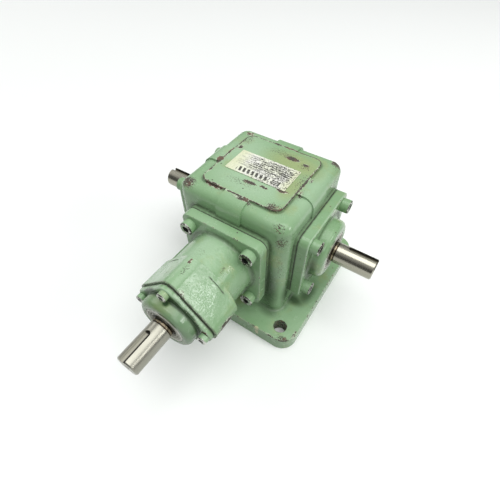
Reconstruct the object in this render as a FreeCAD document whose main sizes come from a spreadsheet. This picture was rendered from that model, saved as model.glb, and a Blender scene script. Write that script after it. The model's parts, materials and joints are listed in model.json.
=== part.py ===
import FreeCAD, Part
import math
import os
import Sketcher
from types import SimpleNamespace

# Right-angle miter gearbox: a cast housing with a through cross shaft along X,
# and an input shaft in a quill that points along -Y.
# Origin: centre of the foot's bolt pattern, on the underside. +Z is up. Millimetres.

Vector = FreeCAD.Vector
doc = FreeCAD.newDocument("MiterGearbox")

# Driving dimensions. Starts are measured from the point where the two shaft lines cross.
driving_sizes = {
    # foot
    "axis_height": 80,
    "base_width": 166,
    "base_depth": 159,
    "base_thickness": 17,
    "base_corner": 16,
    "base_edge": 1.2,
    "bolt_spacing": 130,
    "bolt_hole": 13.5,
    # housing
    "body_width": 112,
    "body_depth": 107,
    "body_rise": 58,
    "body_corner": 11,
    "top_round": 9,
    "foot_round": 3,
    "side_wall": 16,
    "front_wall": 13.5,
    "room_corner": 11,
    "roof_wall": 10,
    "floor_wall": 16,
    "pad_side": 80,
    "pad_corner": 8,
    "pad_rise": 2,
    "band_width": 24,
    "band_rise": 1.2,
    "seat_corner": 8,
    "side_seat_rise": 2.5,
    "front_seat_rise": 4,
    # name plate
    "plate_length": 61,
    "plate_width": 30,
    "plate_thickness": 0.8,
    "plate_corner": 1,
    "plate_shift": -1,
    # flanges
    "gasket_thickness": 0.5,
    "flange_thickness": 9.5,
    "flange_edge": 1,
    "spigot_diameter": 68,
    "spigot_gap": 0.05,
    "spigot_lip": 1,
    "flange_screw_inset": 10,
    # side covers
    "side_boss": 58,
    "side_margin": 11,
    "side_rise": 11.5,
    "side_round": 6,
    "boss_root": 2.5,
    # quill
    "quill_diameter": 64,
    "quill_margin": 9,
    "quill_root": 3,
    "barrel_length": 34.5,
    "nose_length": 27,
    "nose_width": 63,
    "nose_corner": 11,
    "nose_lead": 5,
    # input cover
    "lid_step": 1.5,
    "lid_corner": 10,
    "lid_thickness": 4.5,
    "lid_round": 1.5,
    "lid_rise": 11,
    "lid_boss_gap": 2.75,
    "lid_boss_round": 5,
    "lid_screw_inset": 5.3,
    "lid_rim": 3,
    "lid_recess": 5,
    # ball bearings
    "bearing_outer": 47,
    "bearing_width": 14,
    "bearing_start": 51,
    "ring_land": 4.3,
    "ball_diameter": 7.94,
    "ball_count": 8,
    "ball_gap": 0.1,
    "pocket_gap": 0.15,
    "cage_thickness": 2.3,
    "cage_width": 10.5,
    "shoulder_step": 4,
    # oil seals
    "seal_outer": 38,
    "seal_width": 7,
    "seal_wall": 1.6,
    "seal_face_step": 0.8,
    "lip_gap": 0.05,
    "lip_width": 2.6,
    "spring_wire": 1.4,
    # shafts
    "shaft_diameter": 20,
    "throat_gap": 1.5,
    "cross_end": 40,
    "input_end": 39.4,
    "end_chamfer": 1,
    "center_hole": 5,
    "relief_width": 3.6,
    "relief_depth": 0.5,
    "relief_ridge": 1.2,
    "ridge_drop": 0.15,
    "keyway_width": 6,
    "keyway_depth": 3.5,
    "keyway_length": 28,
    "gear_step": 1,
    "collar_height": 4,
    "collar_width": 7,
    "shaft_nose": 3,
    "sleeve_wall": 3.5,
    # snap rings
    "snap_thickness": 1.2,
    "snap_depth": 0.5,
    "snap_height": 2.5,
    "snap_opening": 5,
    # bevel gears
    "tooth_count": 20,
    "tooth_module": 3,
    "tooth_face": 12,
    "backlash": 0.35,
    "hub_wall": 3,
    "gear_web": 1.5,
    "key_width": 6,
    "key_height": 6,
    "key_length": 22,
    "key_gap": 0.3,
    "key_inset": 5,
    # socket head screws
    "big_screw": 8,
    "big_head": 13,
    "big_head_height": 8,
    "big_socket": 6,
    "big_length": 25,
    "small_screw": 5,
    "small_head": 8.5,
    "small_head_height": 5,
    "small_socket": 4,
    "small_length": 14,
    "head_chamfer": 0.6,
    "hole_gap": 0.5,
    "thread_gap": 0.05,
    "thread_relief": 1,
}

sheet = doc.addObject("Spreadsheet::Sheet", "Sizes")
for row, (alias, number) in enumerate(driving_sizes.items(), start=1):
    sheet.set("A%d" % row, alias)
    sheet.set("B%d" % row, str(number))
    sheet.setAlias("B%d" % row, alias)
doc.recompute()


class Formula:
    # A length with its number and the text that ties it to the sheet.
    def __init__(self, text, value):
        self.text = text
        self.value = value

    def __add__(self, other):
        other = formula(other)
        return Formula("(%s + %s)" % (self.text, other.text), self.value + other.value)

    def __sub__(self, other):
        other = formula(other)
        return Formula("(%s - %s)" % (self.text, other.text), self.value - other.value)

    def __mul__(self, other):
        other = formula(other)
        return Formula("(%s * %s)" % (self.text, other.text), self.value * other.value)

    def __truediv__(self, other):
        other = formula(other)
        return Formula("(%s / %s)" % (self.text, other.text), self.value / other.value)

    def __rsub__(self, other):
        return formula(other) - self

    def __neg__(self):
        return formula(0) - self


def formula(item):
    if isinstance(item, Formula):
        return item
    return Formula(repr(float(item)), float(item))


size = SimpleNamespace(**{
    alias: Formula("Sizes.%s" % alias, float(sheet.get(alias))) for alias in driving_sizes
})
nodes = []
tolerance = 1e-4


# Sketch and feature helpers
def bind(item, path, length):
    item.setExpression(path, formula(length).text)


def frame_of(outward, turn=0):
    # Local z runs outward along a shaft line, and local y is up before the turn.
    up = Vector(0, 0, 1)
    facing = FreeCAD.Rotation(up.cross(outward), up, outward, "ZYX")
    return facing.multiply(FreeCAD.Rotation(Vector(0, 0, 1), turn))


def set_place(item, rotation):
    item.Placement = FreeCAD.Placement(Vector(0, 0, size.axis_height.value), rotation)
    bind(item, "Placement.Base.z", size.axis_height)


def new_body(label, rotation=None, kept=True):
    body = doc.addObject("PartDesign::Body", label)
    body.Label = label
    if rotation is not None:
        set_place(body, rotation)
    if kept:
        nodes.append(body)
    return body


def origin_of(body, role):
    return next(item for item in body.Origin.OriginFeatures if item.Role == role)


def new_sketch(body, plane, offset=0, turn=0):
    sketch = body.newObject("Sketcher::SketchObject", "Sketch")
    sketch.AttachmentSupport = [(origin_of(body, plane), "")]
    sketch.MapMode = "FlatFace"
    lift = formula(offset)
    spin = FreeCAD.Rotation(Vector(0, 0, 1), turn)
    sketch.AttachmentOffset = FreeCAD.Placement(Vector(0, 0, lift.value), spin)
    bind(sketch, "AttachmentOffset.Base.z", lift)
    return sketch


def fix_point(sketch, curve, end, x, y):
    for kind, axis, place in (("DistanceX", -2, formula(x)), ("DistanceY", -1, formula(y))):
        if place.text == "0.0":
            sketch.addConstraint(Sketcher.Constraint("PointOnObject", curve, end, axis))
        else:
            index = sketch.addConstraint(Sketcher.Constraint(kind, -1, 1, curve, end, place.value))
            bind(sketch, "Constraints[%d]" % index, place)


def sign(number):
    return 0 if abs(number) < tolerance else math.copysign(1, number)


def point(x, y):
    return Vector(formula(x).value, formula(y).value, 0)


def outline(sketch, points):
    # Closed outline of straight edges. A third entry rounds that right-angled corner.
    count = len(points)
    spots = [(formula(entry[0]), formula(entry[1])) for entry in points]
    rounds = [formula(entry[2]) if len(entry) > 2 else None for entry in points]
    enter = list(spots)
    leave = list(spots)
    arcs = {}
    for i in range(count):
        if rounds[i] is None:
            continue
        before = spots[i - 1]
        after = spots[(i + 1) % count]
        way_in = [sign(spots[i][k].value - before[k].value) for k in (0, 1)]
        way_out = [sign(after[k].value - spots[i][k].value) for k in (0, 1)]
        enter[i] = tuple(spots[i][k] - rounds[i] * way_in[k] if way_in[k] else spots[i][k] for k in (0, 1))
        leave[i] = tuple(spots[i][k] + rounds[i] * way_out[k] if way_out[k] else spots[i][k] for k in (0, 1))
        middle = point(*enter[i]) + Vector(way_out[0], way_out[1], 0) * rounds[i].value
        arcs[i] = (middle, way_in[0] * way_out[1] - way_in[1] * way_out[0] > 0)
    for i in range(count):
        sketch.addGeometry(Part.LineSegment(point(*leave[i]), point(*enter[(i + 1) % count])))
    for i in range(count):
        after = (i + 1) % count
        fix_point(sketch, i, 1, *leave[i])
        if after not in arcs:
            sketch.addConstraint(Sketcher.Constraint("Coincident", i, 2, after, 1))
            continue
        fix_point(sketch, i, 2, *enter[after])
        middle, left_turn = arcs[after]
        from_in = point(*enter[after]) - middle
        from_out = point(*leave[after]) - middle
        first, last = (from_in, from_out) if left_turn else (from_out, from_in)
        circle_of_arc = Part.Circle(middle, Vector(0, 0, 1), rounds[after].value)
        angles = (math.atan2(first.y, first.x), math.atan2(last.y, last.x))
        arc = sketch.addGeometry(Part.ArcOfCircle(circle_of_arc, *angles))
        sketch.addConstraint(Sketcher.Constraint("Coincident", arc, 1 if left_turn else 2, i, 2))
        sketch.addConstraint(Sketcher.Constraint("Coincident", arc, 2 if left_turn else 1, after, 1))
        index = sketch.addConstraint(Sketcher.Constraint("Radius", arc, rounds[after].value))
        bind(sketch, "Constraints[%d]" % index, rounds[after])


def rounded_rectangle(sketch, width, depth, corner, middle_y=0):
    half_width = formula(width) / 2
    half_depth = formula(depth) / 2
    middle_y = formula(middle_y)
    low = -half_depth if middle_y.text == "0.0" else middle_y - half_depth
    high = half_depth if middle_y.text == "0.0" else middle_y + half_depth
    outline(sketch, [
        (half_width, low, corner),
        (half_width, high, corner),
        (-half_width, high, corner),
        (-half_width, low, corner),
    ])


def circle(sketch, x, y, diameter):
    diameter = formula(diameter)
    curve = sketch.addGeometry(Part.Circle(point(x, y), Vector(0, 0, 1), diameter.value / 2))
    fix_point(sketch, curve, 3, x, y)
    index = sketch.addConstraint(Sketcher.Constraint("Diameter", curve, diameter.value))
    bind(sketch, "Constraints[%d]" % index, diameter)


def four_circles(sketch, spacing, diameter, middle_y):
    half = spacing / 2
    for side in (-1, 1):
        for level in (-1, 1):
            circle(sketch, half * side, middle_y + half * level, diameter)


def extrude(kind, sketch, length, reverse=False, both_ways=False):
    body = sketch.getParentGeoFeatureGroup()
    feature = body.newObject("PartDesign::" + kind, kind)
    feature.Profile = sketch
    bind(feature, "Length", length)
    feature.Reversed = reverse
    feature.Midplane = both_ways
    return feature


def turn_profile(kind, sketch, axis="V_Axis"):
    body = sketch.getParentGeoFeatureGroup()
    feature = body.newObject("PartDesign::" + kind, kind)
    feature.Profile = sketch
    feature.ReferenceAxis = (sketch, [axis])
    feature.Angle = 360
    return feature


def revolve(body, points, kind="Revolution"):
    # Profile points are (radius, distance along the shaft line).
    sketch = new_sketch(body, "XZ_Plane")
    outline(sketch, points)
    return turn_profile(kind, sketch)


def ring_pattern(body, originals, count):
    pattern = body.newObject("PartDesign::PolarPattern", "PolarPattern")
    pattern.Originals = originals
    pattern.Axis = (origin_of(body, "Z_Axis"), [""])
    pattern.Angle = 360
    bind(pattern, "Occurrences", count)
    body.Tip = pattern
    return pattern


def round_edges(base, radius, wanted):
    doc.recompute()
    names = ["Edge%d" % (i + 1) for i, edge in enumerate(base.Shape.Edges) if wanted(edge.BoundBox)]
    body = base.getParentGeoFeatureGroup()
    feature = body.newObject("PartDesign::Fillet", "Fillet")
    feature.Base = (base, names)
    bind(feature, "Radius", radius)
    return feature


def at_level(box, level):
    return abs(box.ZMin - level.value) < tolerance and abs(box.ZMax - level.value) < tolerance


# Places shared by the pieces, along each shaft line
right = Vector(1, 0, 0)
left = Vector(-1, 0, 0)
front = Vector(0, -1, 0)
side_seat = size.body_width / 2 + size.side_seat_rise
front_seat = size.body_depth / 2 + size.front_seat_rise
flange_step = size.gasket_thickness + size.flange_thickness
side_front = side_seat + flange_step
quill_front = front_seat + flange_step
side_reach = side_front + size.side_rise
nose_start = quill_front + size.barrel_length
nose_reach = nose_start + size.nose_length
lid_back = nose_reach + size.gasket_thickness
lid_front = lid_back + size.lid_thickness
lid_reach = lid_front + size.lid_rise
cross_reach = side_reach + size.cross_end
input_reach = lid_reach + size.input_end
body_height = size.axis_height + size.body_rise
pad_top = body_height + size.pad_rise
quill_flange = size.quill_diameter + size.quill_margin * 2
side_flange = size.side_boss + size.side_margin * 2
shaft_radius = size.shaft_diameter / 2
gear_seat = shaft_radius + size.gear_step
bearing_radius = size.bearing_outer / 2
pitch_radius = (size.shaft_diameter + size.bearing_outer) / 4
seal_radius = size.seal_outer / 2
spigot_start = size.bearing_start - size.spigot_lip
inner_land = shaft_radius + size.ring_land
outer_land = bearing_radius - size.ring_land
bearing_end = size.bearing_start + size.bearing_width
drive_bearing_end = nose_reach - size.lid_rim
drive_bearing_start = drive_bearing_end - size.bearing_width
screw_hole = size.big_screw + size.hole_gap * 2
small_hole = size.small_screw + size.hole_gap * 2
throat_radius = shaft_radius + size.throat_gap
seat_screw_depth = size.big_length - flange_step + size.thread_relief

# The lid is a square on its corner. Its screws stand in from the rounded corners.
lid_width = size.nose_width - size.lid_step * 2
lid_corner_reach = lid_width / math.sqrt(2) - size.lid_corner * (math.sqrt(2) - 1)
lid_screw_radius = lid_corner_reach - size.lid_screw_inset

# Pitch cones are at 45 degrees, so the heel's pitch radius equals its distance.
half_right_angle = math.radians(45)
slope = math.cos(half_right_angle)
heel = size.tooth_module * size.tooth_count / 2
tip_rise = size.tooth_module * slope
root_factor = 1.2
root_drop = size.tooth_module * (root_factor * slope)
toe_share = 1 - size.tooth_face * slope / heel
gear_front = (heel - tip_rise) * toe_share
key_start = gear_front + size.key_inset
pitch_angle = 360 / size.tooth_count.value
half_count = int(size.tooth_count.value) // 2

# At rest a tooth of the cross gear stands in a gap of the input gear.
input_turn = pitch_angle / 2
cross_turn = 180 - (half_count + 1) * pitch_angle

# The keys stand a quarter turn round from each gear's own X axis.
key_turn = 90


def screw_spacing(width):
    # The four screws of a square flange stand in from its sides.
    return width - size.flange_screw_inset * 2


# Cast housing
def make_housing():
    body = new_body("gear_housing")
    sketch = new_sketch(body, "XY_Plane")
    rounded_rectangle(sketch, size.base_width, size.base_depth, size.base_corner)
    foot = extrude("Pad", sketch, size.base_thickness)
    round_edges(foot, size.base_edge, lambda box: at_level(box, size.base_thickness))
    sketch = new_sketch(body, "XY_Plane")
    rounded_rectangle(sketch, size.body_width, size.body_depth, size.body_corner)
    block = extrude("Pad", sketch, body_height)
    block = round_edges(block, size.top_round, lambda box: at_level(box, body_height))
    reach = size.body_width.value / 2 + tolerance
    round_edges(block, size.foot_round,
                lambda box: at_level(box, size.base_thickness) and box.XMax < reach and box.XMin > -reach)

    # raised pad on top, and the bands that run from it down to the four seats
    sketch = new_sketch(body, "XY_Plane", size.base_thickness)
    rounded_rectangle(sketch, size.pad_side, size.pad_side, size.pad_corner)
    extrude("Pad", sketch, pad_top - size.base_thickness)
    band_height = pad_top - size.axis_height
    band_middle = size.axis_height + band_height / 2
    for plane, span in (("YZ_Plane", size.body_depth + size.pad_rise * 2),
                        ("XZ_Plane", size.body_width + size.band_rise * 2)):
        sketch = new_sketch(body, plane)
        rounded_rectangle(sketch, span, band_height, size.top_round + size.pad_rise, band_middle)
        extrude("Pad", sketch, size.band_width, both_ways=True)

    # square seats for the flanges, one pair for each shaft line
    for plane, seat, width in (("YZ_Plane", side_seat, side_flange), ("XZ_Plane", front_seat, quill_flange)):
        sketch = new_sketch(body, plane)
        rounded_rectangle(sketch, width, width, size.seat_corner, size.axis_height)
        extrude("Pad", sketch, seat * 2, both_ways=True)

    # gear room and the bores that open it
    floor = size.base_thickness + size.floor_wall
    sketch = new_sketch(body, "XY_Plane", floor)
    rounded_rectangle(sketch, size.body_width - size.side_wall * 2, size.body_depth - size.front_wall * 2,
                      size.room_corner)
    extrude("Pocket", sketch, body_height - size.roof_wall - floor, reverse=True)
    sketch = new_sketch(body, "YZ_Plane")
    circle(sketch, 0, size.axis_height, size.spigot_diameter)
    extrude("Pocket", sketch, side_seat * 2, both_ways=True)
    sketch = new_sketch(body, "XZ_Plane")
    circle(sketch, 0, size.axis_height, size.spigot_diameter)
    extrude("Pocket", sketch, front_seat, reverse=True)

    # screw holes in the three open seats, and bolt holes in the foot
    thread = size.big_screw + size.thread_gap * 2
    open_seats = (
        ("YZ_Plane", side_seat, side_flange),
        ("YZ_Plane", -side_seat, side_flange),
        ("XZ_Plane", front_seat, quill_flange),
    )
    for plane, face, width in open_seats:
        sketch = new_sketch(body, plane, face)
        four_circles(sketch, screw_spacing(width), thread, size.axis_height)
        extrude("Pocket", sketch, seat_screw_depth, reverse=face.value < 0)
    sketch = new_sketch(body, "XY_Plane")
    four_circles(sketch, size.bolt_spacing, size.bolt_hole, formula(0))
    extrude("Pocket", sketch, size.base_thickness, reverse=True)


def make_name_plate():
    body = new_body("name_plate")
    sketch = new_sketch(body, "XY_Plane", pad_top)
    rounded_rectangle(sketch, size.plate_length, size.plate_width, size.plate_corner, size.plate_shift)
    extrude("Pad", sketch, size.plate_thickness)


# Flanged pieces
def square_flange(body, face, width):
    # Square plate with its front face at the given distance, and the spigot that centres it in the housing.
    back = face - size.flange_thickness
    sketch = new_sketch(body, "XY_Plane", back)
    rounded_rectangle(sketch, width, width, size.seat_corner)
    plate = extrude("Pad", sketch, size.flange_thickness)
    round_edges(plate, size.flange_edge, lambda box: at_level(box, face))
    sketch = new_sketch(body, "XY_Plane", back)
    four_circles(sketch, screw_spacing(width), screw_hole, formula(0))
    extrude("Pocket", sketch, size.flange_thickness, reverse=True)
    radius = size.spigot_diameter / 2 - size.spigot_gap
    middle = back + size.flange_thickness / 2
    revolve(body, [(0, spigot_start), (radius, spigot_start), (radius, middle), (0, middle)])


def make_gasket(label, outward, seat, width):
    body = new_body(label, frame_of(outward))
    sketch = new_sketch(body, "XY_Plane", seat)
    rounded_rectangle(sketch, width, width, size.seat_corner)
    circle(sketch, 0, 0, size.spigot_diameter)
    four_circles(sketch, screw_spacing(width), screw_hole, formula(0))
    extrude("Pad", sketch, size.gasket_thickness)


def make_side_cover(label, outward):
    body = new_body(label, frame_of(outward))
    square_flange(body, side_front, side_flange)
    boss = size.side_boss / 2
    skirt = boss + size.boss_root * 2
    inside = side_front - size.flange_thickness
    revolve(body, [
        (0, inside),
        (skirt, inside),
        (skirt, side_front),
        (boss, side_front, size.boss_root),
        (boss, side_reach, size.side_round),
        (0, side_reach),
    ])
    seal_floor = side_reach - size.seal_width
    revolve(body, [
        (0, spigot_start),
        (bearing_radius, spigot_start),
        (bearing_radius, bearing_end),
        (throat_radius, bearing_end),
        (throat_radius, seal_floor),
        (seal_radius, seal_floor),
        (seal_radius, side_reach),
        (0, side_reach),
    ], "Groove")


def make_quill():
    body = new_body("input_quill", frame_of(front))
    square_flange(body, quill_front, quill_flange)
    radius = size.quill_diameter / 2
    skirt = radius + size.quill_root * 2
    inside = quill_front - size.flange_thickness
    revolve(body, [
        (0, inside),
        (skirt, inside),
        (skirt, quill_front),
        (radius, quill_front, size.quill_root),
        (radius, nose_start),
        (0, nose_start),
    ])

    # square nose set on its corner, with a coned lead behind the corners
    lead_start = nose_start - size.nose_lead
    sketch = new_sketch(body, "XY_Plane", lead_start, turn=45)
    rounded_rectangle(sketch, size.nose_width, size.nose_width, size.nose_corner)
    extrude("Pad", sketch, nose_reach - lead_start)
    corner_reach = size.nose_width / math.sqrt(2)
    revolve(body, [
        (radius, lead_start),
        (corner_reach, lead_start),
        (corner_reach, nose_start),
    ], "Groove")

    # seats for the two bearings, with a shoulder between them
    shoulder = bearing_radius - size.shoulder_step
    revolve(body, [
        (0, spigot_start),
        (bearing_radius, spigot_start),
        (bearing_radius, bearing_end),
        (shoulder, bearing_end),
        (shoulder, drive_bearing_start),
        (bearing_radius, drive_bearing_start),
        (bearing_radius, nose_reach),
        (0, nose_reach),
    ], "Groove")
    sketch = new_sketch(body, "XY_Plane", nose_reach)
    circle(sketch, lid_screw_radius, 0, size.small_screw + size.thread_gap * 2)
    depth = size.small_length - size.lid_thickness - size.gasket_thickness + size.thread_relief
    hole = extrude("Pocket", sketch, depth)
    ring_pattern(body, [hole], 4)


def make_lid_gasket():
    body = new_body("input_cover_gasket", frame_of(front))
    sketch = new_sketch(body, "XY_Plane", nose_reach, turn=45)
    rounded_rectangle(sketch, lid_width, lid_width, size.lid_corner)
    circle(sketch, 0, 0, size.bearing_outer)
    extrude("Pad", sketch, size.gasket_thickness)
    sketch = new_sketch(body, "XY_Plane", nose_reach)
    circle(sketch, lid_screw_radius, 0, small_hole)
    hole = extrude("Pocket", sketch, size.gasket_thickness, reverse=True)
    ring_pattern(body, [hole], 4)


def make_lid():
    body = new_body("input_cover", frame_of(front))
    sketch = new_sketch(body, "XY_Plane", lid_back, turn=45)
    rounded_rectangle(sketch, lid_width, lid_width, size.lid_corner)
    plate = extrude("Pad", sketch, size.lid_thickness)
    round_edges(plate, size.lid_round, lambda box: at_level(box, lid_front))
    sketch = new_sketch(body, "XY_Plane", lid_back)
    circle(sketch, lid_screw_radius, 0, small_hole)
    hole = extrude("Pocket", sketch, size.lid_thickness, reverse=True)
    ring_pattern(body, [hole], 4)
    boss = lid_screw_radius - size.small_head / 2 - size.lid_boss_gap
    rim = bearing_radius - size.spigot_gap
    revolve(body, [
        (0, drive_bearing_end),
        (rim, drive_bearing_end),
        (rim, lid_back + size.lid_thickness / 2),
        (boss, lid_back + size.lid_thickness / 2),
        (boss, lid_reach, size.lid_boss_round),
        (0, lid_reach),
    ])
    seal_floor = lid_reach - size.seal_width
    recess = bearing_radius - size.shoulder_step
    revolve(body, [
        (0, drive_bearing_end),
        (recess, drive_bearing_end),
        (recess, drive_bearing_end + size.lid_recess),
        (throat_radius, drive_bearing_end + size.lid_recess),
        (throat_radius, seal_floor),
        (seal_radius, seal_floor),
        (seal_radius, lid_reach),
        (0, lid_reach),
    ], "Groove")


# Socket head screws: one is turned about its own axis, and the ring repeats it.
def make_screws(label, outward, turn, circle_radius, under_head, diameter, head, height, socket, length):
    body = new_body(label, frame_of(outward, turn))
    sketch = new_sketch(body, "XZ_Plane")
    shank_edge = circle_radius + diameter / 2
    head_edge = circle_radius + head / 2
    top = under_head + height
    tip = under_head - length
    outline(sketch, [
        (circle_radius, tip),
        (shank_edge, tip),
        (shank_edge, under_head),
        (head_edge, under_head),
        (head_edge, top - size.head_chamfer),
        (head_edge - size.head_chamfer, top),
        (circle_radius, top),
    ])
    ends = (point(circle_radius, tip), point(circle_radius, top))
    axis = sketch.addGeometry(Part.LineSegment(*ends), True)
    fix_point(sketch, axis, 1, circle_radius, tip)
    fix_point(sketch, axis, 2, circle_radius, top)
    screw = turn_profile("Revolution", sketch, "Axis0")
    sketch = new_sketch(body, "XY_Plane", top)
    corner = socket / math.sqrt(3)
    outline(sketch, [
        (circle_radius + corner * math.cos(math.radians(60 * k + 30)),
         corner * math.sin(math.radians(60 * k + 30)))
        for k in range(6)
    ])
    hollow = extrude("Pocket", sketch, height / 2)
    ring_pattern(body, [screw, hollow], 4)


# Oil seal: rubber-faced case with a sprung lip that runs on the shaft
def make_seal(name, outward, face):
    lip = shaft_radius + size.lip_gap
    lip_back = lip + size.lip_width
    inside = face - size.seal_width
    web = face - size.seal_face_step
    web_back = web - size.seal_wall
    body = new_body(name + "_oil_seal", frame_of(outward))
    revolve(body, [
        (seal_radius, inside),
        (seal_radius, face),
        (seal_radius - size.seal_wall, face),
        (seal_radius - size.seal_wall, web),
        (lip, web),
        (lip, inside),
        (lip_back - size.spring_wire / 2, inside),
        (lip_back, inside + size.spring_wire),
        (lip_back, web_back),
        (seal_radius - size.seal_wall, web_back),
        (seal_radius - size.seal_wall, inside),
    ])
    body = new_body(name + "_seal_spring", frame_of(outward))
    sketch = new_sketch(body, "XZ_Plane")
    spring_radius = size.spring_wire / 2
    circle(sketch, lip_back + spring_radius, inside + size.spring_wire + spring_radius, size.spring_wire)
    turn_profile("Revolution", sketch)


# Deep-groove ball bearing in four pieces
def make_bearing(name, outward, start):
    middle = start + size.bearing_width / 2
    end = start + size.bearing_width
    groove = size.ball_diameter + size.ball_gap * 2
    rings = (("_outer_ring", outer_land, bearing_radius), ("_inner_ring", shaft_radius, inner_land))
    for ring, low, high in rings:
        body = new_body(name + ring, frame_of(outward))
        revolve(body, [(low, start), (high, start), (high, end), (low, end)])
        sketch = new_sketch(body, "XZ_Plane")
        circle(sketch, pitch_radius, middle, groove)
        turn_profile("Groove", sketch)

    body = new_body(name + "_balls", frame_of(outward))
    ball = body.newObject("PartDesign::AdditiveSphere", "Ball")
    ball.AttachmentSupport = [(origin_of(body, "XY_Plane"), "")]
    ball.MapMode = "FlatFace"
    bind(ball, "Radius", size.ball_diameter / 2)
    bind(ball, "AttachmentOffset.Base.x", pitch_radius)
    bind(ball, "AttachmentOffset.Base.z", middle)
    ring_pattern(body, [ball], size.ball_count)

    body = new_body(name + "_cage", frame_of(outward))
    half = size.cage_width / 2
    inside = pitch_radius - size.cage_thickness / 2
    outside = pitch_radius + size.cage_thickness / 2
    low = middle - half
    high = middle + half
    revolve(body, [(inside, low), (outside, low), (outside, high), (inside, high)])
    sketch = new_sketch(body, "YZ_Plane")
    circle(sketch, 0, middle, size.ball_diameter + size.pocket_gap * 2)
    pocket = extrude("Pocket", sketch, outside * 2, reverse=True)
    ring_pattern(body, [pocket], size.ball_count)


# Shafts
def cut_keyway(body, reach, way=1):
    # Slot on local +X that runs out of the shaft's end and has a round inner end.
    floor = shaft_radius - size.keyway_depth
    half = size.keyway_width / 2
    low = (reach - size.keyway_length + half) * way
    run_out = (reach + half) * way
    sketch = new_sketch(body, "YZ_Plane", floor)
    outline(sketch, [(half, low), (half, run_out), (-half, run_out), (-half, low)])
    extrude("Pocket", sketch, shaft_radius, reverse=True)
    sketch = new_sketch(body, "YZ_Plane", floor)
    circle(sketch, 0, low, size.keyway_width)
    extrude("Pocket", sketch, shaft_radius, reverse=True)


def shaft_end(reach, seal_face, way=1):
    # Free end outside the seal: a relief with a low ridge, the plain journal, a chamfer and a centre hole.
    relief = shaft_radius - size.relief_depth
    ridge = shaft_radius - size.ridge_drop
    ridge_start = seal_face + (size.relief_width - size.relief_ridge) / 2
    ridge_end = ridge_start + size.relief_ridge
    hole = size.center_hole / 2
    points = [
        (shaft_radius, seal_face),
        (relief, seal_face),
        (relief, ridge_start),
        (ridge, ridge_start),
        (ridge, ridge_end),
        (relief, ridge_end),
        (relief, seal_face + size.relief_width),
        (shaft_radius, seal_face + size.relief_width),
        (shaft_radius, reach - size.end_chamfer),
        (shaft_radius - size.end_chamfer, reach),
        (hole, reach),
        (0, reach - size.center_hole),
    ]
    return [(radius, distance * way) for radius, distance in points]


def key_sketch(body):
    # Plan of the gear's key, on the floor of its slot.
    sketch = new_sketch(body, "YZ_Plane", gear_seat - size.keyway_depth)
    half = size.key_width / 2
    end = key_start + size.key_length
    outline(sketch, [(half, key_start), (half, end), (-half, end), (-half, key_start)])
    return sketch


def make_cross_shaft():
    body = new_body("cross_shaft", frame_of(right, cross_turn + key_turn))
    collar = gear_seat + size.collar_height
    upper = shaft_end(cross_reach, side_reach)
    lower = shaft_end(cross_reach, side_reach, way=-1)
    revolve(body, list(reversed(lower)) + [
        (shaft_radius, -size.bearing_start),
        (gear_seat, -size.bearing_start),
        (gear_seat, gear_front - size.collar_width),
        (collar, gear_front - size.collar_width),
        (collar, gear_front),
        (gear_seat, gear_front),
        (gear_seat, size.bearing_start),
        (shaft_radius, size.bearing_start),
    ] + upper)
    cut_keyway(body, cross_reach)
    cut_keyway(body, cross_reach, way=-1)
    extrude("Pocket", key_sketch(body), shaft_radius, reverse=True)


def make_input_shaft():
    body = new_body("input_shaft", frame_of(front, input_turn + key_turn))
    groove = gear_seat - size.snap_depth
    outer_groove = shaft_radius - size.snap_depth
    revolve(body, [
        (0, gear_front - size.shaft_nose),
        (gear_seat - size.end_chamfer, gear_front - size.shaft_nose),
        (gear_seat, gear_front - size.shaft_nose + size.end_chamfer),
        (gear_seat, gear_front - size.snap_thickness),
        (groove, gear_front - size.snap_thickness),
        (groove, gear_front),
        (gear_seat, gear_front),
        (gear_seat, size.bearing_start),
        (shaft_radius, size.bearing_start),
        (shaft_radius, drive_bearing_end),
        (outer_groove, drive_bearing_end),
        (outer_groove, drive_bearing_end + size.snap_thickness),
        (shaft_radius, drive_bearing_end + size.snap_thickness),
    ] + shaft_end(input_reach, lid_reach))
    cut_keyway(body, input_reach)
    extrude("Pocket", key_sketch(body), shaft_radius, reverse=True)


def make_gear_key(label, outward, turn):
    body = new_body(label, frame_of(outward, turn + key_turn))
    extrude("Pad", key_sketch(body), size.key_height)


def make_snap_ring(label, seat, start):
    body = new_body(label, frame_of(front, input_turn))
    inner = seat - size.snap_depth
    outer = inner + size.snap_height
    end = start + size.snap_thickness
    revolve(body, [(inner, start), (outer, start), (outer, end), (inner, end)])
    sketch = new_sketch(body, "XY_Plane", start)
    half = size.snap_opening / 2
    outline(sketch, [(half, -outer * 2), (half, 0), (-half, 0), (-half, -outer * 2)])
    extrude("Pocket", sketch, size.snap_thickness, reverse=True)


def make_sleeve():
    body = new_body("bearing_sleeve", frame_of(front))
    outer = shaft_radius + size.sleeve_wall
    revolve(body, [
        (shaft_radius, bearing_end),
        (outer, bearing_end),
        (outer, drive_bearing_start),
        (shaft_radius, drive_bearing_start),
    ])


# Straight bevel teeth. Each flank is an involute of the back cone's equivalent spur gear,
# drawn in a plane across the axis, and every flank runs straight to the cone's apex.
pressure_angle = math.radians(20)
tip_overshoot = 0.3
toe_overshoot = 0.5
heel_overshoot = 1.1
flank_points = 6


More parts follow.
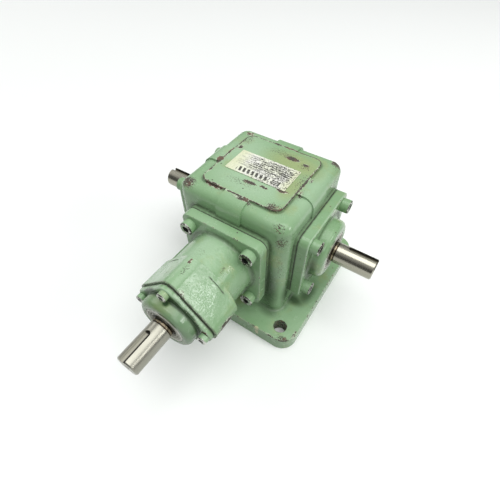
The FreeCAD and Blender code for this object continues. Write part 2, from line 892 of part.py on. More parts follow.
def flank_directions():
    module = size.tooth_module.value
    virtual_radius = module * size.tooth_count.value / (2 * slope)
    base_radius = virtual_radius * math.cos(pressure_angle)
    root_radius = virtual_radius - root_factor * module
    tip_radius = virtual_radius + module + tip_overshoot
    half_tooth = (math.pi * module - size.backlash.value) / (4 * virtual_radius)
    rolled = math.tan(pressure_angle) - pressure_angle
    directions = []
    for k in range(flank_points):
        radius = root_radius + (tip_radius - root_radius) * k / (flank_points - 1)
        lean = math.acos(base_radius / radius) if radius > base_radius else 0
        half_angle = half_tooth + rolled - (math.tan(lean) - lean)
        height = radius - virtual_radius
        cone_angle = half_right_angle + math.atan2(height, virtual_radius)
        true_radius = virtual_radius * slope + height * slope
        directions.append((math.tan(cone_angle), half_angle * radius / true_radius))
    return directions


def tooth_section(distance):
    flank = flank_directions()
    step = math.radians(pitch_angle)

    def spot(spread, angle):
        return Vector(distance * spread * math.cos(angle), distance * spread * math.sin(angle), distance)

    rising = []
    falling = []
    for k in range(int(size.tooth_count.value)):
        rising.append([spot(spread, step * k - half) for spread, half in flank])
        falling.append([spot(spread, step * k + half) for spread, half in reversed(flank)])
    edges = []
    for k, climb in enumerate(rising):
        drop = falling[k]
        next_climb = rising[(k + 1) % len(rising)]
        for row in (climb, drop):
            curve = Part.BSplineCurve()
            curve.interpolate(row)
            edges.append(curve.toShape())
            ends = (climb[-1], drop[0]) if row is climb else (drop[-1], next_climb[0])
            edges.append(Part.LineSegment(*ends).toShape())
    return Part.Wire(edges)


def make_gear(label, outward, turn):
    rotation = frame_of(outward, turn)
    blank = new_body(label + "_blank", rotation, kept=False)
    bore = gear_seat
    hub = bore + size.hub_wall
    shoulder = root_drop + size.gear_web
    tip_radius = heel + tip_rise
    revolve(blank, [
        (bore, gear_front),
        (tip_radius * toe_share, gear_front),
        (tip_radius, heel - tip_rise),
        (heel - shoulder, heel + shoulder),
        (hub, heel + shoulder),
        (hub, size.bearing_start),
        (bore, size.bearing_start),
    ])
    sketch = new_sketch(blank, "XY_Plane", gear_front)
    half = size.key_width / 2
    depth = bore + size.key_height - size.keyway_depth + size.key_gap
    outline(sketch, [(half, 0), (half, depth), (-half, depth), (-half, 0)])
    extrude("Pocket", sketch, size.bearing_start - gear_front, reverse=True)

    teeth = doc.addObject("Part::Feature", label + "_teeth")
    toe = tooth_section(gear_front.value * toe_overshoot)
    back = tooth_section(size.bearing_start.value * heel_overshoot)
    teeth.Shape = Part.makeLoft([toe, back], True, True)
    set_place(teeth, rotation)
    gear = doc.addObject("Part::Common", label)
    gear.Label = label
    gear.Base = blank
    gear.Tool = teeth
    nodes.append(gear)


# Build every piece
make_housing()
make_name_plate()
make_quill()
make_gasket("input_quill_gasket", front, front_seat, quill_flange)
make_lid()
make_lid_gasket()
make_side_cover("right_cover", right)
make_gasket("right_cover_gasket", right, side_seat, side_flange)
make_side_cover("left_cover", left)
make_gasket("left_cover_gasket", left, side_seat, side_flange)

flange_screws = (
    ("input_quill_screws", front, quill_front, quill_flange),
    ("right_cover_screws", right, side_front, side_flange),
    ("left_cover_screws", left, side_front, side_flange),
)
for label, outward, face, width in flange_screws:
    make_screws(label, outward, 45, screw_spacing(width) / math.sqrt(2), face, size.big_screw, size.big_head,
                size.big_head_height, size.big_socket, size.big_length)
make_screws("input_cover_screws", front, 0, lid_screw_radius, lid_front, size.small_screw,
            size.small_head, size.small_head_height, size.small_socket, size.small_length)

make_seal("input", front, lid_reach)
make_seal("right", right, side_reach)
make_seal("left", left, side_reach)
make_bearing("right_bearing", right, size.bearing_start)
make_bearing("left_bearing", left, size.bearing_start)
make_bearing("gear_end_bearing", front, size.bearing_start)
make_bearing("drive_end_bearing", front, drive_bearing_start)

make_cross_shaft()
make_gear("cross_gear", right, cross_turn)
make_gear_key("cross_gear_key", right, cross_turn)
make_input_shaft()
make_gear("input_gear", front, input_turn)
make_gear_key("input_gear_key", front, input_turn)
make_snap_ring("gear_snap_ring", gear_seat, gear_front - size.snap_thickness)
make_snap_ring("bearing_snap_ring", shaft_radius, drive_bearing_end)
make_sleeve()
doc.recompute()

# Nothing is written unless every object and every cut came out right.
for item in doc.Objects:
    if "Invalid" in item.State or "Error" in item.State:
        raise RuntimeError("%s (%s) failed: %s" % (item.Name, item.Label, item.State))
    if item.TypeId in ("PartDesign::Pocket", "PartDesign::Groove"):
        if item.Shape.Volume > item.BaseFeature.Shape.Volume - tolerance:
            raise RuntimeError("%s cuts nothing" % item.Name)
for node in nodes:
    if node.Shape.isNull() or not node.Shape.isValid():
        raise RuntimeError("%s has no valid shape" % node.Label)

os.makedirs("parts", exist_ok=True)
for node in nodes:
    node.Shape.exportStep("parts/%s.step" % node.Label)
    print("%-28s solids %2d  volume %11.2f" % (node.Label, len(node.Shape.Solids), node.Shape.Volume))
print("%d nodes written" % len(nodes))
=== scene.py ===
import json
import math

import bmesh
import bpy
from mathutils import Matrix, Vector


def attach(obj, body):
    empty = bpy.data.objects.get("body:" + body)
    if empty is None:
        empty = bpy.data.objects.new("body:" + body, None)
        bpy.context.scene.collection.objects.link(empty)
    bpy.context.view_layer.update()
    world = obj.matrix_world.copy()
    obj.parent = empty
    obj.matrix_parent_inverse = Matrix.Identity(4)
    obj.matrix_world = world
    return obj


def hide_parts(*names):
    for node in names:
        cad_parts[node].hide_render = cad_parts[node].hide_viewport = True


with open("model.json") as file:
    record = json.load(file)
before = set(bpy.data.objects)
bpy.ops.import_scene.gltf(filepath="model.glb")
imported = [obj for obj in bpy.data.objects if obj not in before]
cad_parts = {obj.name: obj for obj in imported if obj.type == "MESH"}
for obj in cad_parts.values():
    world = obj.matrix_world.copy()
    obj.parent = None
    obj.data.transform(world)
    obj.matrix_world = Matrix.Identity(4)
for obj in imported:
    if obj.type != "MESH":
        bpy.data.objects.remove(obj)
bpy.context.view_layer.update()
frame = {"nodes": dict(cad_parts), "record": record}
mm = 0.001
axisHeight = 80  # both shaft lines, in mm above the foot's underside
slotOf = {entry["node"]: entry["material_slot"] for entry in frame["record"]["subparts"]}
print("frame loaded:", len(frame["nodes"]), "nodes")


# Shader helpers
def addNode(tree, kind, sockets=None, **settings):
    node = tree.nodes.new("ShaderNode" + kind)
    for name, value in settings.items():
        setattr(node, name, value)
    for key, value in (sockets or {}).items():
        if hasattr(value, "is_output"):
            tree.links.new(value, node.inputs[key])
        else:
            node.inputs[key].default_value = value
    return node


def calc(tree, operation, first, second=0.0, third=0.0):
    return addNode(tree, "Math", {0: first, 1: second, 2: third}, operation=operation).outputs[0]


def chain(tree, operation, values):
    total = values[0]
    for value in values[1:]:
        total = calc(tree, operation, total, value)
    return total


def strongest(tree, *values):
    return chain(tree, "MAXIMUM", values)


def product(tree, *values):
    return chain(tree, "MULTIPLY", values)


def addShare(tree, total, value, share):
    return calc(tree, "MULTIPLY_ADD", value, share, total)


def beyond(tree, value, half):
    # how far a value lies past a half width, on either side
    return calc(tree, "SUBTRACT", calc(tree, "ABSOLUTE", value), half)


def hypot(tree, first, second):
    squares = addShare(tree, product(tree, second, second), first, first)
    return calc(tree, "SQRT", squares)


def vectorCalc(tree, operation, first, second=(0, 0, 0)):
    return addNode(tree, "VectorMath", {0: first, 1: second}, operation=operation).outputs


def ramp(tree, value, low, high, start=0.0, end=1.0, smooth=True):
    kind = "SMOOTHSTEP" if smooth else "LINEAR"
    sockets = {"Value": value, "From Min": low, "From Max": high, "To Min": start, "To Max": end}
    return addNode(tree, "MapRange", sockets, interpolation_type=kind).outputs[0]


def between(tree, value, low, high, soft):
    # 1 inside a range, with soft ends
    return product(tree, ramp(tree, value, low - soft, low), ramp(tree, value, high, high + soft, 1, 0))


def mixColor(tree, factor, first, second):
    node = addNode(tree, "Mix", {0: factor, 6: first, 7: second}, data_type="RGBA")
    return node.outputs[2]


def noise(tree, place, scale, detail=2.0, roughness=0.5):
    sockets = {"Vector": place, "Scale": scale, "Detail": detail, "Roughness": roughness}
    return addNode(tree, "TexNoise", sockets).outputs[0]


def split(tree, vector):
    return addNode(tree, "SeparateXYZ", {0: vector}).outputs


def newGroup(name, inputs, outputs):
    tree = bpy.data.node_groups.new(name, "ShaderNodeTree")
    for label, kind, value in inputs:
        socket = tree.interface.new_socket(label, in_out="INPUT", socket_type="NodeSocket" + kind)
        if value is not None:
            socket.default_value = value
    for label, kind in outputs:
        tree.interface.new_socket(label, in_out="OUTPUT", socket_type="NodeSocket" + kind)
    entry = tree.nodes.new("NodeGroupInput").outputs
    leave = tree.nodes.new("NodeGroupOutput").inputs
    return tree, entry, leave


def useGroup(tree, group, sockets):
    return addNode(tree, "Group", sockets, node_tree=group).outputs


def newMaterial(name, **shaderValues):
    material = bpy.data.materials.new(name)
    material.use_nodes = True
    tree = material.node_tree
    shader = tree.nodes["Principled BSDF"]
    for key, value in shaderValues.items():
        shader.inputs[key].default_value = value
    return material, tree, shader


def millimetres(tree, center=(0, 0, 0), turn=(0, 0, 0)):
    # object coordinates in mm, measured from a centre and then turned
    angles = [math.radians(angle) for angle in turn]
    aboutX, aboutY, aboutZ = (Matrix.Rotation(angle, 3, axis) for angle, axis in zip(angles, "XYZ"))
    sockets = {
        "Vector": addNode(tree, "TexCoord").outputs["Object"],
        "Location": -(aboutZ @ aboutY @ aboutX @ Vector(center)),
        "Rotation": angles,
        "Scale": (1 / mm, 1 / mm, 1 / mm),
    }
    return addNode(tree, "Mapping", sockets).outputs[0]


def finishSurface(tree, shader, color, height, roughness=None):
    # height is in mm; without a roughness the shader keeps its own
    tree.links.new(color, shader.inputs["Base Color"])
    if roughness is not None:
        tree.links.new(roughness, shader.inputs["Roughness"])
    bump = addNode(tree, "Bump", {"Height": height, "Distance": mm})
    tree.links.new(bump.outputs[0], shader.inputs["Normal"])


# Shared effects
def makeEdgeLoop():
    # how close a point is to the rounded square edge of a face, 1 on the edge and 0 past the reach
    tree, entry, leave = newGroup("edgeLoop", [
        ("Place", "Vector", None), ("Half Width", "Float", 40), ("Half Depth", "Float", 40),
        ("Corner", "Float", 8), ("Reach", "Float", 3), ("Level", "Float", 1),
    ], [("Near", "Float")])
    parts = split(tree, entry["Place"])
    overX = beyond(tree, parts[0], calc(tree, "SUBTRACT", entry["Half Width"], entry["Corner"]))
    overY = beyond(tree, parts[1], calc(tree, "SUBTRACT", entry["Half Depth"], entry["Corner"]))
    outside = hypot(tree, strongest(tree, overX, 0), strongest(tree, overY, 0))
    inside = calc(tree, "MINIMUM", strongest(tree, overX, overY), 0)
    across = calc(tree, "SUBTRACT", calc(tree, "ADD", outside, inside), entry["Corner"])
    near = ramp(tree, hypot(tree, across, parts[2]), 0, entry["Reach"], 1, 0)
    tree.links.new(product(tree, near, entry["Level"]), leave["Near"])
    return tree


def makeSpot():
    # a soft ball round a marked place, 1 in its core and 0 past its spread
    core = 0.2  # as a share of the spread
    tree, entry, leave = newGroup("spot", [
        ("Place", "Vector", None), ("Center", "Vector", None), ("Spread", "Vector", (5, 5, 5)),
        ("Level", "Float", 1),
    ], [("Near", "Float")])
    away = vectorCalc(tree, "SUBTRACT", entry["Place"], entry["Center"])[0]
    scaled = vectorCalc(tree, "DIVIDE", away, entry["Spread"])[0]
    near = ramp(tree, vectorCalc(tree, "LENGTH", scaled)["Value"], core, 1, 1, 0)
    tree.links.new(product(tree, near, entry["Level"]), leave["Near"])
    return tree


enamelLook = {
    "green": (0.226, 0.386, 0.200, 1),
    # pale paint, for fading at random and for painted sheen where the light falls
    "fadedAndSheen": (0.335, 0.495, 0.315, 1),
    "yellowed": (0.31, 0.385, 0.165, 1),
    "paintRim": (0.62, 0.68, 0.53, 1),
    "iron": (0.075, 0.068, 0.052, 1),
    "primer": (0.15, 0.092, 0.062, 1),
    # dark colour for dirt, and for painted shade in creases and recesses
    "grimeAndShade": (0.040, 0.055, 0.026, 1),
    # painted shade, laid over the paint by the Shade input
    "paintedShade": (0.045, 0.085, 0.038, 1),
    # scale per mm, detail and roughness of each noise
    "noises": {
        "chips": (0.36, 5, 0.62),
        "crumbs": (1.5, 2, 0.5),
        "flecks": (0.95, 4, 0.6),
        "grain": (0.75, 2, 0.5),
        "fading": (0.018, 3, 0.55),
        "stains": (0.045, 4, 0.6),
        "soil": (0.25, 5, 0.7),
        "rubbing": (0.3, 4, 0.65),
        "rust": (0.13, 3, 0.6),
        "gloss": (0.08, 4, 0.6),
        "skin": (0.6, 2, 0.5),
        "castWaves": (0.16, 3, 0.5),
    },
    # noise levels between which an effect comes up, and its least and most
    "levels": {
        "fading": (0.45, 0.7, 0, 0.5),
        "peelGlint": (0.38, 0.64, 0, 0.8),
        "crumbSheen": (0.2, 0.5, 0.7, 1),
        "stains": (0.52, 0.75, 0, 0.6),
        "grimeAndShade": (0.2, 0.55, 0, 1),
        "soil": (0.58, 0.80, 0, 0.3),
        "rubbing": (0.55, 1.0, 0, 0.75),
        "rust": (0.48, 0.66, 0, 1),
        "gloss": (0.3, 0.7, 0.16, 0.30),
        "peelGloss": (0.38, 0.6, 0.1, -0.12),
    },
    # bare spots: the level where each kind starts, how soft its edge is, and what adds to it
    "chipStart": 0.70,
    "chipSoft": 0.012,
    "chipCrumbs": 0.2,
    "chipWear": 0.36,
    "rimWidth": 0.03,
    "rimStrength": 0.8,
    "fleckStart": 0.735,
    "fleckSoft": 0.02,
    "fleckWear": 0.26,
    "fleckSpecks": 0.25,
    "dotScale": 0.14,
    "dotStart": 0.66,
    "dotSize": 0.10,
    "rubbingShare": 0.5,
    "dirtRoughness": 0.25,
    "bareRoughness": 0.8,
    # heights in mm
    "filmThickness": 0.14,  # of the paint, which is the depth of a chip
    "skinHeight": 0.10,
    "peelHeight": 0.09,
    "waveHeight": 0.3,
    "wavesUnderPeel": 0.2,  # the share of the waves that is left where the paint is peeled
    "crumbHeight": 0.2,
}


def makeChippedEnamel():
    look = enamelLook
    tree, entry, leave = newGroup("chippedEnamel", [
        ("Place", "Vector", None), ("Wear", "Float", 0), ("GrimeAndShade", "Float", 0), ("Dots", "Float", 1),
        ("Stain", "Float", 0), ("Peel", "Float", 0), ("Fade", "Float", 0), ("Specks", "Float", 0),
        ("Shade", "Float", 0),
    ], [("Color", "Color"), ("Roughness", "Float"), ("Height", "Float"), ("Bare", "Float")])
    place = entry["Place"]
    cloud = {name: noise(tree, place, *values) for name, values in look["noises"].items()}

    def shown(cloudName, levelName):
        return ramp(tree, cloud[cloudName], *look["levels"][levelName])

    # chips with a pale rim, small flecks and round dots
    level = product(tree, cloud["chips"], 1 - look["chipCrumbs"])
    level = addShare(tree, level, cloud["crumbs"], look["chipCrumbs"])
    level = addShare(tree, level, entry["Wear"], look["chipWear"])
    chipped = ramp(tree, level, look["chipStart"], look["chipStart"] + look["chipSoft"])
    rim = ramp(tree, level, look["chipStart"] - look["rimWidth"], look["chipStart"])
    flecks = addShare(tree, cloud["flecks"], entry["Wear"], look["fleckWear"])
    flecks = addShare(tree, flecks, entry["Specks"], look["fleckSpecks"])
    flecks = ramp(tree, flecks, look["fleckStart"], look["fleckStart"] + look["fleckSoft"])
    cells = addNode(tree, "TexVoronoi", {"Vector": place, "Scale": look["dotScale"], "Randomness": 1.0})
    lucky = addNode(tree, "SeparateColor", {0: cells.outputs["Color"]}).outputs[0]
    dotSize = ramp(tree, lucky, look["dotStart"], 1.0, 0.0, look["dotSize"])
    dots = product(tree, calc(tree, "LESS_THAN", cells.outputs["Distance"], dotSize), entry["Dots"])
    bare = strongest(tree, chipped, flecks, dots)

    # paint from its own green to faded and lit by painted sheen, stained, dirty with grime and painted
    # shade in the creases, darkened by painted shade under parts, and rubbed
    # painted sparkle: lighter paint in the grain of the glossy peel
    peelGlint = product(tree, entry["Peel"], shown("grain", "peelGlint"))
    # painted sheen in crumbs, where the sheen spots and loops lie
    crumbSheen = product(tree, entry["Fade"], shown("crumbs", "crumbSheen"))
    fade = strongest(tree, shown("fading", "fading"), peelGlint, crumbSheen)
    paint = mixColor(tree, fade, look["green"], look["fadedAndSheen"])
    stain = strongest(tree, shown("stains", "stains"), entry["Stain"])
    paint = mixColor(tree, stain, paint, look["yellowed"])
    # darker in the creases by grime and painted shade from the loops and spots, and dirty at random
    darkening = strongest(tree, product(tree, entry["GrimeAndShade"], shown("soil", "grimeAndShade")), shown("soil", "soil"))
    paint = mixColor(tree, darkening, paint, look["grimeAndShade"])
    # painted shade from the shade spots and loops
    paint = mixColor(tree, entry["Shade"], paint, look["paintedShade"])
    rubbing = addShare(tree, entry["Wear"], cloud["rubbing"], look["rubbingShare"])
    rubbed = ramp(tree, rubbing, *look["levels"]["rubbing"])
    rubbed = strongest(tree, product(tree, rim, look["rimStrength"]), rubbed)
    paint = mixColor(tree, rubbed, paint, look["paintRim"])
    under = mixColor(tree, shown("rust", "rust"), look["iron"], look["primer"])
    tree.links.new(mixColor(tree, bare, paint, under), leave["Color"])

    gloss = addShare(tree, shown("gloss", "gloss"), darkening, look["dirtRoughness"])
    gloss = addShare(tree, gloss, entry["Peel"], shown("grain", "peelGloss"))
    tree.links.new(ramp(tree, bare, 0, 1, gloss, look["bareRoughness"], smooth=False), leave["Roughness"])

    height = product(tree, cloud["skin"], look["skinHeight"])
    height = addShare(tree, height, product(tree, cloud["grain"], entry["Peel"]), look["peelHeight"])
    lowWaves = look["waveHeight"] * look["wavesUnderPeel"]
    waves = ramp(tree, entry["Peel"], 0, 1, look["waveHeight"], lowWaves)
    height = addShare(tree, height, cloud["castWaves"], waves)
    height = addShare(tree, height, bare, -look["filmThickness"])
    height = addShare(tree, height, product(tree, bare, cloud["crumbs"]), look["crumbHeight"])
    tree.links.new(height, leave["Height"])
    tree.links.new(bare, leave["Bare"])
    return tree


edgeLoop = makeEdgeLoop()
spot = makeSpot()
chippedEnamel = makeChippedEnamel()
# the enamel's inputs, and what their loops and spots are called in a piece's look
enamelMarks = {
    "Wear": "wear",
    "GrimeAndShade": "grimeAndShade",
    "Stain": "stain",
    "Peel": "peel",
    "Fade": "fade",
    "Specks": "speck",
    "Shade": "shade",
}
print("shared effects done")


def fieldOf(tree, place, loops, spots):
    # loops: centre, turn, half width, half depth, corner, reach, level; spots: centre, spread, level
    fields = []
    for center, turn, halfWidth, halfDepth, corner, reach, level in loops:
        fields.append(useGroup(tree, edgeLoop, {
            "Place": millimetres(tree, center, turn), "Half Width": halfWidth, "Half Depth": halfDepth,
            "Corner": corner, "Reach": reach, "Level": level})["Near"])
    for center, spread, level in spots:
        fields.append(useGroup(tree, spot, {
            "Place": place, "Center": center, "Spread": spread, "Level": level})["Near"])
    return strongest(tree, *fields)


def enamelSockets(tree, place, look):
    sockets = {"Place": place}
    for name, mark in enamelMarks.items():
        loops = look.get(mark + "Loops", ())
        spots = look.get(mark + "Spots", ())
        if loops or spots:
            sockets[name] = fieldOf(tree, place, loops, spots)
    return sockets


def paintedCasting(name, look):
    material, tree, shader = newMaterial(name)
    place = millimetres(tree)
    enamel = useGroup(tree, chippedEnamel, enamelSockets(tree, place, look))
    color = enamel["Color"]
    roughness = enamel["Roughness"]
    if "boltSpacing" in look:
        # rust in the bolt holes, with a ragged edge round them
        fromX, fromY = (beyond(tree, part, look["boltSpacing"] / 2) for part in split(tree, place)[:2])
        speckle = noise(tree, place, *look["holeNoise"])
        ragged = addShare(tree, hypot(tree, fromX, fromY), speckle, look["holeRagged"])
        full, none = (look["boltHole"] + past for past in look["holeEdge"])
        inHole = ramp(tree, ragged, full, none, 1, 0)
        rusty = ramp(tree, noise(tree, place, *look["rustNoise"]), *look["rustLevels"])
        color = mixColor(tree, inHole, color, mixColor(tree, rusty, look["holeDark"], look["holeRust"]))
        roughness = ramp(tree, inHole, 0, 1, roughness, look["holeRoughness"], smooth=False)
    if "drips" in look:
        dripped = ramp(tree, fieldOf(tree, place, (), look["drips"]), *look["dripEdge"])
        color = mixColor(tree, dripped, color, look["dripColor"])
    finishSurface(tree, shader, color, enamel["Height"], roughness)
    return material


# Skins: a merged copy of a node, with its sharp edges rounded
skinLook = {
    "sharpAngle": math.radians(25),  # a fold of more than this is an edge
    "flatAngle": math.radians(0.5),  # faces that fold by less than this are joined
    "mergeDistance": 1e-6,
}


def finishPiece(name, bm, body, material, nodes):
    for face in bm.faces:
        face.smooth = True
    mesh = bpy.data.meshes.new(name)
    bm.to_mesh(mesh)
    bm.free()
    if "custom_normal" in mesh.attributes:
        mesh.attributes.remove(mesh.attributes["custom_normal"])
    mesh.set_sharp_from_angle(angle=skinLook["sharpAngle"])
    mesh.materials.clear()
    mesh.materials.append(material)
    piece = bpy.data.objects.new(name, mesh)
    bpy.context.scene.collection.objects.link(piece)
    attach(piece, body)
    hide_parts(*nodes)
    return piece


def nodeSkin(node, body, material, edgeRound, wanted=None, segments=3):
    # wanted says how much of the rounding an edge gets, from its two corners in mm
    bm = bmesh.new()
    bm.from_mesh(frame["nodes"][node].data)
    bmesh.ops.remove_doubles(bm, verts=bm.verts, dist=skinLook["mergeDistance"])
    bmesh.ops.dissolve_limit(bm, angle_limit=skinLook["flatAngle"], verts=bm.verts, edges=bm.edges)
    weight = bm.edges.layers.float.new("bevel_weight_edge")
    for edge in bm.edges:
        if len(edge.link_faces) == 2 and edge.calc_face_angle() > skinLook["sharpAngle"]:
            edge[weight] = 1.0 if wanted is None else wanted([v.co / mm for v in edge.verts])
    piece = finishPiece(node + "_skin", bm, body, material, [node])
    bevel = piece.modifiers.new("edgeRound", "BEVEL")
    bevel.width = edgeRound * mm
    bevel.segments = segments
    bevel.limit_method = "WEIGHT"
    bevel.harden_normals = True
    bevel.profile = 0.5
    bevel.material = -1


def setMaterial(node, material):
    slots = frame["nodes"][node].data.materials
    slots.clear()
    slots.append(material)


# Housing
housingLook = {
    "edgeRound": 0.9,
    # how far out the flange seats are, and half their width
    "seatX": (58.5, 39.5),
    "seatY": (57.5, 40.5),
    "seatGap": 0.1,
    # the gear room: half its width, its radius in plan, its reach from the shaft lines, and its floor
    "roomHalf": 56,
    "roomRadius": 53,
    "roomUp": 49,
    "roomFloor": 30,
    "underside": (1, 0.5),  # up to which height an edge is at the bottom, and its share of the rounding
    "boltSpacing": 130,
    "boltHole": 6.75,
    "holeEdge": (0.7, 1.0),  # mm past the hole's wall, where the rust ends
    "holeRagged": 1.6,
    "holeNoise": (0.8, 3),
    "rustNoise": (0.3, 4, 0.7),
    "rustLevels": (0.4, 0.65),
    "holeRoughness": 0.75,
    "holeDark": (0.045, 0.035, 0.028, 1),
    "holeRust": (0.22, 0.15, 0.10, 1),
    "wearLoops": [
        ((0, 0, 140), (0, 0, 0), 40, 40, 8, 2.2, 0.78),
        ((0, 0, 17), (0, 0, 0), 83, 79.5, 16, 2.0, 0.55),
    ],
    "wearSpots": [
        ((-41, -9, 139), (6, 8, 4), 0.95), ((-40, -26, 139), (4, 9, 4), 0.8),
        ((-36, 17, 140), (4, 6, 3), 0.8), ((-24, -40, 139), (16, 4, 3), 0.9),
        ((6, -42, 139), (16, 4, 3), 0.85), ((30, -37, 139), (10, 6, 3), 0.6),
        ((0, -21.5, 140), (9, 3.2, 2), 0.95), ((13, -20.5, 140), (7, 2.6, 2), 0.8),
        ((28, -16, 140), (9, 4, 2), 0.95), ((15, 27, 140), (12, 4, 2), 0.9),
        ((29, 25.5, 140), (5, 3, 2), 0.8), ((43, 9, 139), (3, 6, 3), 0.7),
        ((43, -10, 139), (4, 9, 3), 0.6), ((-42, 43, 135), (9, 8, 7), 0.9),
        ((-36, 37, 138), (4, 4, 3), 0.8), ((-46, -46, 135), (11, 8, 7), 0.72),
        ((48, 46, 135), (8, 7, 7), 0.8), ((76, -76, 16.5), (9, 5, 2.5), 0.42),
        ((81, -66, 16.5), (3, 10, 2.5), 0.6), ((60, -79, 16.5), (10, 3, 2.5), 0.55),
    ],
    "speckSpots": [
        ((49, -50, 122), (10, 10, 13), 1.0), ((46, -50, 135), (10, 8, 8), 0.9),
        ((49, -48, 90), (9, 9, 55), 0.8), ((74, -76, 16.5), (14, 8, 3), 0.9),
        ((50, 44, 134), (10, 10, 8), 0.9), ((-46, -46, 134), (14, 12, 10), 0.9),
        ((30, 22, 139.5), (14, 8, 3), 0.8), ((34, -36, 139.5), (12, 10, 4), 0.8),
        ((-36, 30, 139.5), (10, 14, 4), 0.8), ((4, 30, 140), (34, 9, 4), 0.72),
        ((-6, -25, 140), (30, 8, 4), 0.7), ((36, 2, 140), (8, 26, 4), 0.72),
        ((0, -44, 137), (44, 5, 5), 0.62), ((44, 0, 137), (5, 44, 5), 0.62),
        ((55, 30, 126), (8, 24, 14), 0.6),
    ],
    # grime, dark joints and painted shade along the flange seats, the foot and the pad
    "grimeAndShadeLoops": [
        ((0, -57.6, 80), (90, 0, 0), 41, 41, 8, 2.2, 0.9),
        ((0, -53.5, 80), (90, 0, 0), 41, 41, 8, 5, 0.7),
        ((58.6, 0, 80), (0, 90, 0), 40, 40, 8, 2.0, 0.9),
        ((56, 0, 80), (0, 90, 0), 40, 40, 8, 4, 0.6),
        ((0, 0, 17), (0, 0, 0), 56.5, 54, 12, 5, 0.4),
        ((0, 0, 138), (0, 0, 0), 40.6, 40.6, 8, 1.8, 0.55),
    ],
    # painted shade beside the corner column, low on the front wall, and on the foot under the right cover
    "shadeSpots": [
        ((42, -54, 52), (14, 8, 52), 0.95), ((57, -43, 42), (6, 10, 34), 0.75),
        ((46, -56, 18), (16, 10, 8), 0.6), ((0, -58, 30), (60, 8, 20), 0.6),
        ((61, -31, 17), (17, 9, 8), 0.85), ((70, -16, 17), (10, 24, 8), 0.75),
    ],
    "stainSpots": [
        ((20, 22, 140), (44, 22, 6), 0.9), ((33, -8, 140), (13, 26, 6), 0.8),
    ],
    # painted highlights on the lit top, the corner column and the left corner
    "fadeSpots": [
        ((0, -22, 140), (62, 34, 26), 1.0), ((-30, 10, 140), (40, 50, 26), 0.9),
        ((52, 0, 132), (22, 60, 30), 0.9), ((49, -48, 84), (7, 7, 48), 1.0),
        ((-48, -44, 122), (22, 20, 22), 1.0),
    ],
    "drips": [((46, -80, 15), (4.2, 5, 4.5), 1.0), ((46.5, -80, 9), (3.0, 4, 6.5), 1.0)],
    "dripEdge": (0.3, 0.5),
    "dripColor": (0.52, 0.53, 0.32, 1),
}


def housingEdge(corners):
    # edges under the flanges stay sharp, and so do those of the gear room
    look = housingLook
    seatX, halfX = look["seatX"]
    seatY, halfY = look["seatY"]
    for x, y, z in corners:
        up = abs(z - axisHeight)
        inSeatX = abs(abs(x) - seatX) < look["seatGap"] and max(abs(y), up) < halfX
        inSeatY = abs(abs(y) - seatY) < look["seatGap"] and max(abs(x), up) < halfY
        inWalls = max(abs(x), abs(y)) < look["roomHalf"] and math.hypot(x, y) < look["roomRadius"]
        inRoom = inWalls and up < look["roomUp"] and z > look["roomFloor"]
        if inSeatX or inSeatY or inRoom:
            return 0.0
    bottom, share = look["underside"]
    return 1.0 if corners[0].z > bottom else share


housingPaint = paintedCasting("housingEnamel", housingLook)
nodeSkin("gear_housing", "housing", housingPaint, housingLook["edgeRound"], housingEdge)
print("housing done")

# Quill, lid and side covers
quillLook = {
    "edgeRound": 0.6,
    "wearLoops": [
        ((0, -67.5, 80), (90, 0, 0), 41, 41, 8, 1.6, 0.42),
        ((0, -129, 80), (90, 0, 45), 31.5, 31.5, 11, 1.8, 0.42),
    ],
    "wearSpots": [
        ((0, -104, 122), (3, 5, 5), 0.9), ((3, -113, 123), (3, 5, 4), 0.8),
        ((-2, -123, 122), (3, 4, 4), 0.7), ((10, -127, 114), (5, 3, 6), 0.6),
        ((40, -116, 79), (7, 15, 8), 0.85), ((-8, -100, 112), (8, 3, 6), 0.7),
    ],
    # painted shade round the barrel's root, and dark joints at the nose seam and the lid
    "grimeAndShadeLoops": [
        ((0, -67.8, 80), (90, 0, 0), 34, 34, 34, 4, 0.6),
        ((0, -102, 80), (90, 0, 0), 32.3, 32.3, 32.3, 1.2, 1.0),
        ((0, -129, 80), (90, 0, 45), 31.5, 31.5, 11, 1.7, 1.0),
    ],
    "speckSpots": [
        ((2, -112, 122), (6, 14, 5), 1.0), ((-4, -88, 113), (10, 10, 6), 0.5),
        ((20, -90, 106), (8, 8, 8), 0.6),
    ],
    # painted highlights on the quill's top and the nose's upper left facet
    "fadeSpots": [((-6, -92, 112), (30, 50, 24), 1.0), ((-24, -116, 102), (24, 24, 24), 1.3)],
    # glossy peel, which also lays a painted sparkle in the paint's grain
    "peelSpots": [((23, -115, 103), (24, 24, 24), 1.2), ((-20, -115, 104), (12, 19, 12), 0.35)],
}
